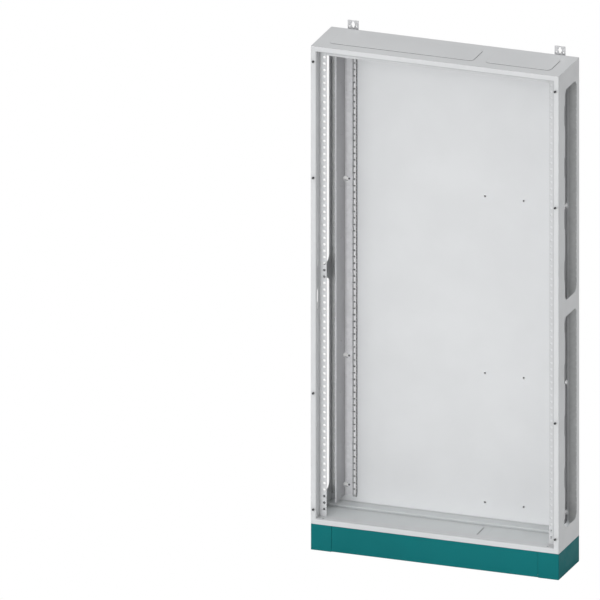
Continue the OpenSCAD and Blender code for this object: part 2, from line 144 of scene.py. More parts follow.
class Fold:
    """The middle line of a folded sheet: straight runs joined by bends."""

    def __init__(self, points, radii, steps=6):
        pts = [Vector(p) for p in points]
        runs = [(pts[i + 1] - pts[i]) for i in range(len(pts) - 1)]
        self.tangent = [r.normalized() for r in runs]
        self.trim = [0.0]
        self.turns = []
        for i, r in enumerate(radii):
            turn = self.tangent[i].angle_signed(self.tangent[i + 1]) * -1
            self.turns.append(turn)
            self.trim.append(r * math.tan(abs(turn) / 2))
        self.trim.append(0.0)
        self.pts, self.radii = pts, radii
        self.start, self.stop, self.cuts = [], [], []
        s = 0.0
        for i, run in enumerate(runs):
            self.start.append(s)
            s += run.length - self.trim[i] - self.trim[i + 1]
            self.stop.append(s)
            if i < len(radii):
                arc = radii[i] * abs(self.turns[i])
                self.cuts += [s + arc * k / steps for k in range(steps + 1)]
                s += arc
        self.length = s

    def s(self, run, d):
        """Distance along the sheet of a point at distance d from the run's first corner."""
        return self.start[run] + d - self.trim[run]

    def at(self, s, c=0.0):
        """The point at distance s along the sheet and c to the left of its middle."""
        for i, (a, b) in enumerate(zip(self.start, self.stop)):
            last = i == len(self.start) - 1
            if s <= b or last:
                t = self.tangent[i]
                p = self.pts[i] + t * (s - a + self.trim[i])
                return p + Vector((-t.y, t.x)) * c
            if s < self.start[i + 1]:
                t, r, turn = self.tangent[i], self.radii[i], self.turns[i]
                sign = 1 if turn > 0 else -1
                n = Vector((-t.y, t.x)) * sign
                centre = self.pts[i + 1] - t * self.trim[i + 1] + n * r
                phi = (s - b) / r
                out = -n * math.cos(phi) + t * math.sin(phi)
                return centre + out * (r - sign * c)


def sheet(loops, t, place, fold=None, edge=(0.4, 0.4), rim=(0.3, 0.3), keep=()):
    """A sheet with punched holes as (vertices, faces). The first loop is the outline, against the clock.

    edge and rim round the outline and the holes on the two faces; the outline's edges in keep stay sharp."""
    bm = bmesh.new()
    lids = [[], []]
    for number, loop in enumerate(loops):
        if number:
            loop = loop[::-1]
        lower, upper = rim if number else edge
        hard = [0.0 if not number and i in keep else 1.0 for i in range(len(loop))]
        levels = []
        for k in range(3):
            phi = math.radians(45 * k)
            levels.append((lower * (1 - math.sin(phi)), lower * (1 - math.cos(phi))))
        for k in range(3):
            phi = math.radians(45 * k)
            levels.append((upper * (1 - math.cos(phi)), t - upper * (1 - math.sin(phi))))
        rings = []
        for d, c in levels:
            rings.append([bm.verts.new((x, y, c)) for x, y in inset(loop, [d * h for h in hard])])
        for a, b in zip(rings, rings[1:]):
            for i in range(len(a)):
                j = (i + 1) % len(a)
                bm.faces.new((a[i], a[j], b[j], b[i]))
        for lid, ring in zip(lids, (rings[0], rings[-1])):
            lid += [bm.edges.get((ring[i], ring[(i + 1) % len(ring)])) for i in range(len(ring))]
    for lid in lids:
        bmesh.ops.triangle_fill(bm, use_beauty=True, edges=lid)
    if fold:
        for cut in fold.cuts:
            geom = bm.verts[:] + bm.edges[:] + bm.faces[:]
            bmesh.ops.bisect_plane(bm, geom=geom, dist=1e-4, plane_co=(cut, 0, 0), plane_no=(1, 0, 0))
    bm.verts.index_update()
    verts = []
    for v in bm.verts:
        if fold:
            p = fold.at(v.co.x, v.co.z - t / 2)
            verts.append(place(p.x, p.y, v.co.y))
        else:
            verts.append(place(*v.co))
    faces = [[v.index for v in f.verts] for f in bm.faces]
    bm.free()
    return verts, faces


# ---- turned parts ----

def turned(profile, place, n=24):
    """A part turned from (radius, height) or, with a hexagon, (radius, height, width across flats)."""
    verts, faces, rings = [], [], []
    for r, h, *hexagon in profile:
        if r <= 0:
            rings.append([len(verts)] * n)
            verts.append(place(0, 0, h))
            continue
        ring = []
        for i in range(n):
            phi = 2 * math.pi * i / n
            size = r
            if hexagon:
                off = (phi + math.pi / 6) % (math.pi / 3) - math.pi / 6
                size = min(r, hexagon[0] / 2 / math.cos(off))
            ring.append(len(verts))
            verts.append(place(size * math.cos(phi), size * math.sin(phi), h))
        rings.append(ring)
    for a, b in zip(rings, rings[1:]):
        for i in range(n):
            j = (i + 1) % n
            face = []
            for v in (a[i], a[j], b[j], b[i]):
                if v not in face:
                    face.append(v)
            faces.append(face)
    return verts, faces


def along_y(x, y, z, way=1):
    return lambda a, b, h: (x + a, y + way * h, z + b)


def along_z(x, y, z, way=1):
    return lambda a, b, h: (x + a, y + b, z + way * h)


def thread(d, length, pitch=1.0):
    """The profile of a threaded rod with chamfered ends."""
    r, core = d / 2, d / 2 - 0.6 * pitch
    points = [(0, 0), (core, 0)]
    count = int(length / pitch - 0.5)
    for i in range(count):
        points += [(r, pitch * (i + 0.5)), (core, pitch * (i + 1))]
    return points + [(core, length), (0, length)]


def hex_body(across, height, bore=0.0, lift=0.0):
    """The profile of a hexagon nut or head with a chamfered top, and a bore where it is a nut."""
    corner = across / 2 / math.cos(math.pi / 6)
    chamfer = across * 0.06
    inside = bore / 2
    points = [(inside + 0.4 if bore else 0, lift), (across * 0.48, lift),
              (corner + 1, lift + chamfer, across),
              (corner + 1, lift + height - chamfer, across), (across * 0.46, lift + height)]
    if bore:
        points += [(inside + 0.4, lift + height), (inside, lift + height - 0.4), (inside, lift + 0.4),
                   points[0]]
    else:
        points.append((0, lift + height))
    return points


# ---- materials ----

class Nodes:
    """A short way to write a node tree."""

    def __init__(self, name):
        self.mat = bpy.data.materials.new(name)
        self.mat.use_nodes = True
        self.tree = self.mat.node_tree
        self.shader = self.tree.nodes["Principled BSDF"]
        coords = self.tree.nodes.new("ShaderNodeTexCoord")
        self.place = coords.outputs["Object"]

    def add(self, kind, inputs, **settings):
        n = self.tree.nodes.new("ShaderNode" + kind)
        for key, value in settings.items():
            setattr(n, key, value)
        for key, value in inputs.items():
            if isinstance(value, bpy.types.NodeSocket):
                self.tree.links.new(value, n.inputs[key])
            else:
                n.inputs[key].default_value = value
        return n

    def stretched(self, scale):
        return self.add("Mapping", {"Vector": self.place, "Scale": scale}).outputs[0]

    def noise(self, scale, detail=2.0, vector=None):
        inputs = {"Vector": vector or self.place, "Scale": scale, "Detail": detail}
        return self.add("TexNoise", inputs).outputs["Fac"]

    def spread(self, value, lo, hi, start=0.35, stop=0.65):
        return self.add("MapRange", {"Value": value, "From Min": start, "From Max": stop,
                                     "To Min": lo, "To Max": hi}).outputs[0]

    def math(self, operation, a, b):
        return self.add("Math", {0: a, 1: b}, operation=operation).outputs[0]

    def mix(self, factor, a, b):
        n = self.add("Mix", {0: factor, 6: a, 7: b}, data_type="RGBA")
        return n.outputs[2]

    def edges(self, radius):
        """1 along worn edges, 0 on the flat."""
        bevel = self.add("Bevel", {"Radius": radius}, samples=4)
        flat = self.add("NewGeometry", {})
        pair = {0: bevel.outputs[0], 1: flat.outputs["Normal"]}
        dot = self.add("VectorMath", pair, operation="DOT_PRODUCT")
        return self.spread(dot.outputs["Value"], 1.0, 0.0, 0.75, 0.98)

    def open_air(self, reach):
        """0 deep in a corner, 1 where nothing stands within reach; the mask for painted corner shading."""
        n = self.add("AmbientOcclusion", {"Distance": reach}, samples=6)
        return self.spread(n.outputs["AO"], 0.0, 1.0, 0.15, 0.95)

    def bends(self):
        """1 halfway round a bend, 0 on faces that look along an axis; the mask for painted shade round bends.
        """
        geometry = self.add("NewGeometry", {})
        normal = self.add("VectorMath", {0: geometry.outputs["Normal"]}, operation="ABSOLUTE")
        x, y, z = self.add("SeparateXYZ", {"Vector": normal.outputs[0]}).outputs
        return self.spread(self.math("MAXIMUM", self.math("MAXIMUM", x, y), z), 1.0, 0.0, 0.75, 0.99)

    def darker(self, color, factor):
        n = self.add("Mix", {0: 1.0, 6: color, 7: factor}, data_type="RGBA", blend_type="MULTIPLY")
        return n.outputs[2]

    def bump(self, height, strength, distance, under=None):
        inputs = {"Height": height, "Strength": strength, "Distance": distance}
        if under:
            inputs["Normal"] = under
        return self.add("Bump", inputs).outputs[0]

    def finish(self, color, rough, normal, **constants):
        for key, value in (("Base Color", color), ("Roughness", rough), ("Normal", normal)):
            self.tree.links.new(value, self.shader.inputs[key])
        for key, value in constants.items():
            self.shader.inputs[key.replace("_", " ")].default_value = value
        return self.mat


def tint(color, factor):
    return tuple(min(c * factor, 1.0) for c in color) + (1.0,)


def powder_coat(name, color, worn, rough=0.46, specular=0.5, vary=0.02, peel=0.12, corner=1.0, reach=0.05,
                contact=1.0, near=0.008, bend=1.0):
    """Fine textured powder coat: soft cloudiness, orange peel and rubbed edges.

    corner, contact and bend scale the colour in corners, close to other sheets and round bends: painted shade
    where they are below 1, painted light where they are above 1."""
    n = Nodes(name)
    cloud = n.spread(n.noise(4.0, 3.0), 0.0, 1.0)
    color_a = n.mix(cloud, tint(color, 1 - vary), tint(color, 1 + vary))
    speck = n.spread(n.noise(900.0, 1.0), 0.0, 0.35, 0.62, 0.72)
    color_b = n.mix(speck, color_a, tint(color, 0.93))
    wear = n.math("MULTIPLY", n.edges(0.0009), n.spread(n.noise(70.0, 3.0), 0.0, 0.5, 0.5, 0.6))
    color_c = n.mix(wear, color_b, tint(worn, 1.0))
    # painted corner shading: darker in corners within reach when corner is below 1, lighter when it is above
    # 1
    if corner != 1.0:
        color_c = n.darker(color_c, n.spread(n.open_air(reach), corner, 1.0, 0.0, 1.0))
    # painted shade close to other sheets
    if contact != 1.0:
        color_c = n.darker(color_c, n.spread(n.open_air(near), contact, 1.0, 0.0, 0.6))
    # painted shade round bends
    if bend != 1.0:
        color_c = n.darker(color_c, n.spread(n.bends(), 1.0, bend, 0.0, 1.0))
    handled = n.noise(14.0, 4.0)
    roughness = n.spread(handled, rough - 0.05, rough + 0.07)
    fine = n.bump(n.noise(650.0, 2.0), peel, 0.0002)
    normal = n.bump(n.noise(180.0, 1.0), peel * 0.5, 0.0004, fine)
    return n.finish(color_c, roughness, normal, Specular_IOR_Level=specular)


def galvanised(name, color, metallic=0.25, vary=0.07, corner=0.5, reach=0.06, side_shade=1.0):
    """Hot-dip zinc: spangle cells of slightly different grey and gloss, faint rolling lines.

    corner scales the colour in corners and flank the colour on faces that look sideways; both are painted
    shade."""
    n = Nodes(name)
    cells = n.add("TexVoronoi", {"Vector": n.place, "Scale": 85.0}, feature="F1")
    shade = n.add("SeparateColor", {"Color": cells.outputs["Color"]}).outputs[0]
    cloud = n.noise(9.0, 3.0)
    blend = n.math("ADD", n.math("MULTIPLY", shade, 0.5), n.math("MULTIPLY", cloud, 0.5))
    color_a = n.mix(n.spread(blend, 0.0, 1.0, 0.2, 0.8), tint(color, 1 - vary), tint(color, 1 + vary))
    lines = n.noise(60.0, 2.0, n.stretched((14.0, 14.0, 0.3)))
    color_b = n.mix(n.spread(lines, 0.0, 0.3), color_a, tint(color, 0.9))
    wear = n.math("MULTIPLY", n.edges(0.0008), n.spread(cloud, 0.2, 0.6))
    color_c = n.mix(wear, color_b, tint(color, 1.18))
    # painted shade in corners within reach
    color_c = n.darker(color_c, n.spread(n.open_air(reach), corner, 1.0, 0.0, 1.0))
    # painted shade on faces that look sideways along x
    across = n.add("SeparateXYZ", {"Vector": n.add("NewGeometry", {}).outputs["Normal"]}).outputs[0]
    color_c = n.darker(color_c, n.spread(n.math("ABSOLUTE", across, 0.0), 1.0, side_shade, 0.2, 0.9))
    roughness = n.spread(shade, 0.38, 0.56, 0.0, 1.0)
    normal = n.bump(n.noise(400.0, 2.0), 0.12, 0.0002, n.bump(shade, 0.06, 0.0002))
    return n.finish(color_c, roughness, normal, Metallic=metallic)


def plated(name, color, metallic, rough, vary=0.08):
    """Plated or blackened steel and brass: brushed grain, darker spots, bright edges."""
    n = Nodes(name)
    grain = n.noise(160.0, 3.0, n.stretched((1.0, 1.0, 0.15)))
    stain = n.noise(55.0, 4.0)
    color_a = n.mix(n.spread(stain, 0.0, 1.0), tint(color, 1 - vary), tint(color, 1 + vary))
    color_b = n.mix(n.spread(grain, 0.0, 0.35), color_a, tint(color, 0.82))
    wear = n.math("MULTIPLY", n.edges(0.0006), n.spread(stain, 0.1, 0.8))
    # painted shade in hollows within 5 mm
    depth = n.spread(n.open_air(0.005), 0.3, 1.0, 0.0, 0.8)
    color_c = n.darker(n.mix(wear, color_b, tint(color, 1.35)), depth)
    roughness = n.spread(grain, rough - 0.07, rough + 0.1)
    normal = n.bump(grain, 0.15, 0.0001, n.bump(n.noise(900.0, 2.0), 0.1, 0.0001))
    return n.finish(color_c, roughness, normal, Metallic=metallic)


def moulded(name, color, rough, pores, bump):
    """Moulded plastic or cellular rubber: fine pores, greyed edges."""
    n = Nodes(name)
    pore = n.noise(pores, 3.0)
    dust = n.noise(40.0, 4.0)
    color_a = n.mix(n.spread(dust, 0.0, 1.0), tint(color, 0.85), tint(color, 1.3))
    wear = n.math("MULTIPLY", n.edges(0.0005), n.spread(dust, 0.2, 0.8))
    color_b = n.mix(wear, color_a, tint(color, 2.2))
    roughness = n.spread(pore, rough - 0.08, rough + 0.08)
    return n.finish(color_b, roughness, n.bump(pore, bump, 0.0003))


LIGHT_GREY = (0.61, 0.62, 0.63)
UNDERCOAT = (0.5, 0.51, 0.52)
# painted shade: the frame paint is the light grey darkened by 0.94, with painted shade in its corners, close
# to other sheets and round its bends
FRAME_PAINT = powder_coat("light_grey_frame", tint(LIGHT_GREY, 0.94)[:3], UNDERCOAT, corner=0.78, contact=0.4,
                           bend=0.65)
# painted light in the back wall's corners (corner above 1) and painted shade close to other sheets
PAINT = powder_coat("light_grey_panels", LIGHT_GREY, UNDERCOAT, corner=1.3, reach=0.15, contact=0.3,
                    near=0.015)
# painted shade: the side walls' paint is the light grey darkened by 0.97
SIDE_PAINT = powder_coat("light_grey_sides", tint(LIGHT_GREY, 0.97)[:3], UNDERCOAT)
# painted shade: the roof paint is the light grey darkened by 0.95, with a painted shadow within 6 mm round
# the gland plates
ROOF_PAINT = powder_coat("light_grey_roof", tint(LIGHT_GREY, 0.95)[:3], UNDERCOAT, corner=0.45, reach=0.006)
# painted shade: the floor paint is a darker copy of the light grey, with painted shade within 12 mm of steps
# and plates
FLOOR_PAINT = powder_coat("light_grey_floor", (0.578, 0.6, 0.607), UNDERCOAT, corner=0.45, reach=0.012)
CLEAT_PAINT = powder_coat("cleat_paint", (0.9, 0.9, 0.9), (0.6, 0.6, 0.6))
# painted shade close to other sheets, such as at the plinth joints
TEAL = powder_coat("teal_paint", (0.003, 0.1375, 0.1455), (0.05, 0.19, 0.2), rough=0.5, specular=0.08,
                    vary=0.04, contact=0.5)
# painted shade in the uprights' corners and on their sideways faces
GALVANISED = galvanised("galvanised_sheet", (0.8, 0.8, 0.82), corner=0.4, reach=0.012, side_shade=0.58)
# painted shade: the corner strips' zinc is a darker copy of the galvanised sheet, with painted shade in
# corners
GALVANISED_STRIP = galvanised("galvanised_strip", (0.55, 0.56, 0.56), corner=0.75, reach=0.05)
# painted shade in the rails' corners and on their sideways faces
GALVANISED_RAIL = galvanised("galvanised_rail", (0.77, 0.77, 0.78), metallic=0.1, corner=0.5, reach=0.008,
                             side_shade=0.6)
ZINC_PLATE = plated("zinc_steel", (0.58, 0.58, 0.59), 0.6, 0.4)
DARK_STEEL = plated("dark_steel", (0.15, 0.15, 0.16), 0.3, 0.4)
BRASS = plated("brass", (0.6, 0.42, 0.14), 0.9, 0.32)
RUBBER = moulded("gasket_rubber", (0.05, 0.05, 0.052), 0.75, 500.0, 0.5)
BLACK_PLASTIC = moulded("black_plastic", (0.018, 0.018, 0.02), 0.42, 900.0, 0.15)


# ---- pieces ----

def piece(name, body, slot, material, solids, *nodes):
    """One object made of closed solids, riding on a body and standing for the CAD nodes."""
    mesh = bpy.data.meshes.new(name)
    verts, faces = [], []
    for v, f in solids:
        faces += [[i + len(verts) for i in face] for face in f]
        verts += [((x * MM), (y * MM + Y_FACE), (z * MM)) for x, y, z in v]
    mesh.from_pydata(verts, [], faces)
    bm = bmesh.new()
    bm.from_mesh(mesh)
    bmesh.ops.recalc_face_normals(bm, faces=bm.faces)
    bm.to_mesh(mesh)
    bm.free()
    mesh.polygons.foreach_set("use_smooth", [True] * len(mesh.polygons))
    mesh.set_sharp_from_angle(angle=math.radians(50))
    obj = bpy.data.objects.new(name, mesh)
    bpy.context.scene.collection.objects.link(obj)
    obj.data.materials.append(material)
    normals = obj.modifiers.new("even_normals", "WEIGHTED_NORMAL")
    normals.keep_sharp = True
    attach(obj, body)
    if nodes:
        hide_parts(*nodes)
    return obj


GREY, ZINC, GALV = "light_grey_paint", "zinc_steel", "galvanised_sheet"


def front_frame():
    """The four members of the front frame, mitred at the face."""
    mid = FACE - FRAME / 2
    back = 35 - FRAME / 2
    upright = Fold([(0, 1), (mid, 1), (mid, back), (FACE + 27, back)], [5, 2])
    header = Fold([(0, 1), (mid, 1), (mid, back), (FACE + 20, back)], [5, 2])
    sill = Fold([(0, 1), (mid, 1), (mid, 41), (10, 41)], [5, 2])

    def mitred(fold, ends, lo, hi):
        """The flat outline of a member between lo and hi; ends gives what is taken off along it."""
        low = [(s, lo + off) for s, off in ends]
        high = [(s, hi - off) for s, off in reversed(ends)]
        joint = set(range(len(low) - 1)) | set(range(len(low), len(low) + len(high) - 1))
        return low + high, joint

    def face_ends(fold):
        return [(s, fold.at(s).x) for s in [0.0] + fold.cuts[:7]]

    ends = face_ends(upright) + [(upright.length, mid)]
    outline, joint = mitred(upright, ends, BASE, TOP)
    slot_y, slot_h = (5.5, 17.5), 195
    holes = [circle(upright.s(2, 19), z, 10) for z in HOLE_Z]
    holes += [circle(STUD_U, z, 6, 16) for z in STUD_Z]
    holes.append(rectangle(upright.s(1, slot_y[0] - 1), MID - slot_h / 2,
                           upright.s(1, slot_y[1] - 1), MID + slot_h / 2, 3))
    for name, side in SIDES:
        solid = sheet([outline] + holes, FRAME, lambda u, y, z, side=side: on_side(side, u, y, z),
                      upright, edge=(1.0, 0.3), keep=joint)
        node = "front_upright_" + name
        piece(node + "_folded", "cabinet", GREY, FRAME_PAINT, [solid], node)

    ends = face_ends(header) + [(header.cuts[7], mid), (header.cuts[7], 49.7), (header.length, 49.7)]
    outline, joint = mitred(header, ends, -HALF, HALF)
    solid = sheet([outline], FRAME, lambda a, y, x: (x, y, TOP - a), header, edge=(1.0, 0.3), keep=joint)
    piece("front_header_folded", "cabinet", GREY, FRAME_PAINT, [solid], "front_header")

    ends = face_ends(sill) + [(sill.length, mid)]
    outline, joint = mitred(sill, ends, -HALF, HALF)
    holes = [circle(sill.s(1, 9), x, 8) for x in (45 - HALF, HALF - 45)]
    solid = sheet([outline] + holes, FRAME, lambda a, y, x: (x, y, BASE + a), sill,
                  edge=(1.0, 0.3), keep=joint)
    piece("front_sill_folded", "cabinet", GREY, FRAME_PAINT, [solid], "front_sill")


def window(z0, z1):
    """A side window in y and z, with relief notches in its front edge."""
    front, back, r, depth = 68.5, 193.5, 25, 7
    reach, end, ease = 36, 5, 3
    notches = [z for z in range(int(BASE) + 77, int(TOP), 200) if z0 - reach < z < z1 + reach]
    edge = []
    for z in notches:
        lo, hi = z - reach, z + reach
        if lo - end <= z0 + r:
            edge.append((front - depth, z0, r))
        else:
            edge += [(front, z0, r)] if not edge else []
            edge += [(front, lo - end, ease), (front - depth, lo, ease)]
        if hi + end >= z1 - r:
            edge.append((front - depth, z1, r))
        else:
            edge += [(front - depth, hi, ease), (front, hi + end, ease)]
    if edge[-1][1] != z1:
        edge.append((front, z1, r))
    return rounded(([(back, z0, r), (back, z1, r)] + edge[::-1]), 8)


def shell():
    """Side walls bent round the back corners, back wall, roof and stepped floor."""
    side_fold = Fold([(2, 0.75), (DEPTH - 0.75, 0.75), (DEPTH - 0.75, 16)], [1.3])
    outline = [(0, BASE), (side_fold.length, BASE), (side_fold.length, TOP - SHEET), (0, TOP - SHEET)]
    flat = side_fold.s(0, 0) - 2

    windows = []
    for z0, z1 in ((BASE + 76.5, MID - 31.5), (MID + 31.5, TOP - 76.5)):
        windows.append([(y + flat, z) for y, z in window(z0, z1)])
    for name, side in SIDES:
        solid = sheet([outline] + windows, SHEET, lambda y, u, z, side=side: on_side(side, u, y, z),
                      side_fold, edge=(0.4, 0.2), rim=(0.5, 0.5))
        piece("side_wall_%s_bent" % name, "cabinet", GREY, SIDE_PAINT, [solid], "side_wall_" + name)

    holes = [circle(x, z, 7) for x in INSERT_X for z in INSERT_Z]
    holes += [circle(side * (HALF - LUG_X), z, 8) for side in (-1, 1) for z in LUG_SCREW_Z]
    w = HALF - 16.4
    solid = sheet([rectangle(-w, BASE, w, TOP - SHEET)] + holes, SHEET,
                  lambda x, z, c: (x, INNER + c, z), edge=(0.2, 0.5))
    piece("back_wall_plate", "cabinet", GREY, PAINT, [solid], "back_wall")

    insert = [(0, -7), (2, -7), (2.1, -2.5), (3.3, 0.6), (3.6, 1), (4.7, 1), (5, 0.7), (5, 0), (3.5, 0),
              (3.5, -9.5), (3.1, -10), (0, -10)]
    solids = []
    for x in INSERT_X:
        for z in INSERT_Z:
            solids.append(turned(insert, along_y(x, INNER, z, -1)))
    piece("back_wall_rivet_nuts", "cabinet", ZINC, ZINC_PLATE, solids, "back_wall_inserts")

    holes = [gland_area("roof_gland_plate_large", 14), gland_area("roof_gland_plate_small", 14)]
    outline = rounded([(-HALF, FRAME, 0), (HALF, FRAME, 0), (HALF, DEPTH, 1.5), (-HALF, DEPTH, 1.5)], 3)
    solid = sheet([outline] + holes, SHEET, lambda x, y, c: (x, y, TOP - SHEET + c),
                  edge=(0.1, 0.5), keep=(0,))
    piece("roof_plate", "cabinet", GREY, ROOF_PAINT, [solid], "roof_panel")

    fold = Fold([(42, BASE + 11), (168, BASE + 11), (168, BASE + 21), (INNER, BASE + 21)], [2, 2])
    w = HALF - SHEET
    holes = []
    for node in ("floor_gland_plate_large", "floor_gland_plate_small"):
        holes.append([(fold.s(0, y - 42), x) for x, y in gland_area(node, 14)][::-1])
    solid = sheet([rectangle(0, -w, fold.length, w)] + holes, FRAME, lambda y, z, x: (x, y, z), fold,
                  edge=(0.2, 0.2))
    piece("floor_tray", "cabinet", GREY, FLOOR_PAINT, [solid], "floor_panel")


def gland_area(node, less):
    """The rounded outline of a gland plate, made smaller all round."""
    lo, hi = mm_box(node)
    r = max(16 - less, 4)
    return rectangle(lo.x + less, lo.y + less, hi.x - less, hi.y - less, r, 8)


def gland_plates():
    """The four loose plates and the gaskets that stay on the body."""
    for name in ("large", "small"):
        for where, paint in (("roof", ROOF_PAINT), ("floor", FLOOR_PAINT)):
            node = "%s_gland_plate_%s" % (where, name)
            lo, hi = mm_box(node)
            solid = sheet([gland_area(node, 0)], hi.z - lo.z, lambda x, y, c: (x, y, lo.z + c),
                          edge=(0.1, 0.8))
            piece(node + "_rounded", "%s_plate_%s" % (where, name), GREY, paint, [solid], node)
            seal = "%s_gasket_%s" % (where, name)
            s_lo, s_hi = mm_box(seal)
            solid = sheet([gland_area(node, 1.5), gland_area(node, 13)], s_hi.z - s_lo.z,
                          lambda x, y, c: (x, y, s_lo.z + c), edge=(0.3, 0.1), rim=(0.3, 0.1))
            piece(seal + "_ring", "cabinet", "gasket_rubber", RUBBER, [solid], seal)


def rear_frame():
    """Folded rear uprights with cut-outs, hole rails, corner strips, and the straps seen in the cut-outs."""
    z0, z1 = HOLE_Z[0] - 5, HOLE_Z[-1] + 5
    upright = Fold([(48, 215), (48, 127), (53, 127), (53, 214), (85.5, 214)], [1.5, 1.5, 2])
    cut_y, cut_u, half = 199, 67, 9
    leg_end, web_front, web_u, web_hole_y = 215, 127, 53, 175
    cut = leg_end - cut_y
    outline = [(0, z0, 0), (upright.length, z0, 0), (upright.length, z1, 0), (0, z1, 0)]
    for z in reversed(CLEAT_Z):
        outline += [(0, z + half, 0), (cut, z + half, 2), (cut, z - half, 2), (0, z - half, 0)]
    holes = [circle(upright.s(3, SCREW_U - web_u), z, 4, 16) for z in CLEAT_Z]
    holes += [rectangle(upright.s(2, cut_y - web_front), z - half, upright.s(3, cut_u - web_u), z + half, 2)
              for z in CLEAT_Z]
    for z in range(int(BASE) + 55, int(TOP) - 100, 200):
        holes += [circle(upright.s(0, leg_end - web_hole_y), z, 8, 20),
                  circle(upright.s(2, web_hole_y - web_front), z, 8, 20)]
    rail = Fold([(89.25, INNER), (89.25, 205.75), (100.25, 205.75), (100.25, INNER)], [1.75, 1.75])
    rail_holes = [circle(rail.s(1, 5), z, 6, 20) for z in HOLE_Z]
    rail_holes += [circle(rail.s(2, 212.5 - 205.75), HOLE_Z[0] + 12.5 * i, 4, 14) for i in range(141)]
    strip_holes = [circle(12, z, 6, 20) for z in HOLE_Z]
    head = [(0, 1.1), (1.3, 1.1, 2.4), (1.35, 2.2, 2.4), (1.7, 2.5), (2.6, 2.3), (3.3, 1.5), (3.5, 0.4),
            (3.4, 0), (2, 0), (2, -4.6), (1.6, -5), (0, -5)]
    screws = []
    for name, side in SIDES:
        flat = lambda u, y, z, side=side: on_side(side, u, y, z)
        solid = sheet([rounded(outline, 3)] + holes, FRAME, flat, upright)
        piece("rear_upright_%s_folded" % name, "cabinet", GALV, GALVANISED, [solid], "rear_upright_" + name)
        solid = sheet([rectangle(0, z0, rail.length, z1)] + rail_holes, 1.5, flat, rail)
        piece("rear_rail_%s_folded" % name, "cabinet", GALV, GALVANISED_RAIL, [solid], "rear_rail_" + name)
        solid = sheet([rectangle(SHEET, z0, 39.5, z1)] + strip_holes, FRAME,
                      lambda u, z, c, side=side: on_side(side, u, INNER - FRAME + c, z))
        piece("corner_strip_%s_punched" % name, "cabinet", GALV, GALVANISED_STRIP, [solid],
              "corner_strip_" + name)
        straps = []
        tilt = math.radians(14)
        for z in CLEAT_Z:
            def strap(a, b, c, z=z, side=side):
                u = STRAP_U + a * math.cos(tilt) + b * math.sin(tilt)
                return on_side(side, u, 215 + c, z - a * math.sin(tilt) + b * math.cos(tilt))
            # the screw's hole, seen from the strap's own middle
            off_u = SCREW_U - STRAP_U
            hole = circle(off_u * math.cos(tilt), off_u * math.sin(tilt), 4.1, 16)
            straps.append(sheet([rectangle(-17, -6.5, 17, 6.5, 2.5, 4), hole], 3.5, strap, edge=(0.8, 0.2)))
            screws.append(turned(head, along_y(side * (SCREW_U - HALF), 213, z, -1)))
        piece("rail_cleats_%s_straps" % name, "cabinet", "cleat_paint", CLEAT_PAINT, straps,
              "rail_cleats_" + name)
    piece("cleat_screws_turned", "cabinet", "dark_steel", DARK_STEEL, screws, "cleat_screws")


def front_studs():
    """Threaded pins through the face with a moulded cap on each."""
    caps, pins = [], []
    cap = [(0, 5.2), (1.6, 5.2), (1.9, 5.7), (3.0, 6), (3.8, 5.6), (4.2, 4.8), (4.2, 1.2), (3.9, 0.2),
           (3.6, 0), (0, 0)]
    for _, side in SIDES:
        for z in STUD_Z:
            caps.append(turned(cap, along_y(side * (STUD_U - HALF), STUD_Y, z, -1)))
            pins.append(turned(thread(6, 13), along_y(side * (STUD_U - HALF), STUD_Y, z)))
    piece("stud_caps_turned", "cabinet", "black_plastic", BLACK_PLASTIC, caps, "stud_caps")
    piece("stud_pins_threaded", "cabinet", ZINC, ZINC_PLATE, pins, "stud_pins")


def keyhole(x, y, d, slot_w, reach):
    """A round hole with a slot above and below."""
    r, s = d / 2, slot_w / 2
    open_at = math.degrees(math.asin(math.sqrt(r * r - s * s) / r))
    points = []

    def arc(cy, radius, start, stop, steps):
        for k in range(steps + 1):
            phi = math.radians(start + (stop - start) * k / steps)
            points.append((x + radius * math.cos(phi), y + cy + radius * math.sin(phi)))

    arc(0, r, -open_at, open_at, 8)
    arc(reach, s, 0, 180, 8)
    arc(0, r, 180 - open_at, 180 + open_at, 8)
    arc(-reach, s, 180, 360, 8)
    return points


def wall_lugs():
    """Joggled lugs with a keyhole, bolted to the back wall."""
    foot = TOP - 75
    fold = Fold([(foot, 221.5), (TOP - 24.4, 221.5), (TOP - 12.4, 233.5), (TOP + 29, 233.5)], [4, 4])
    half = 21
    outline = [(0, -half, 2), (fold.length, -half, 3), (fold.length, half, 3), (0, half, 2)]
    holes = [circle(fold.s(0, z - foot), 0, 8.4) for z in LUG_SCREW_Z]
    holes += [circle(fold.s(2, 17.4), x, 6, 20) for x in (-14, 14)]
    # the keyhole's slots run along the lug
    holes.append([(fold.s(2, 25.4) + b, a) for a, b in keyhole(0, 0, 14.5, 8, 8.2)][::-1])
    screws, nuts = [], []
    for name, side in SIDES:
        x0 = side * (LUG_X - HALF)
        solid = sheet([rounded(outline, 4)] + holes, 3, lambda z, y, x: (x0 + x, y, z), fold, edge=(0.5, 0.5))
        piece("wall_lug_%s_bent" % name, "cabinet", ZINC, ZINC_PLATE, [solid], "wall_lug_" + name)
        for z in LUG_SCREW_Z:
            screws.append(turned(hex_body(13, 5), along_y(x0, 223, z)))
            screws.append(turned(thread(8, 8, 1.25), along_y(x0, 215.1, z)))
            nuts.append(turned(hex_body(11, 3.5, 8), along_y(x0, 218.5, z, -1)))
    piece("lug_screws_hex", "cabinet", ZINC, ZINC_PLATE, screws, "lug_screws")
    piece("lug_nuts_hex", "cabinet", ZINC, ZINC_PLATE, nuts, "lug_nuts")


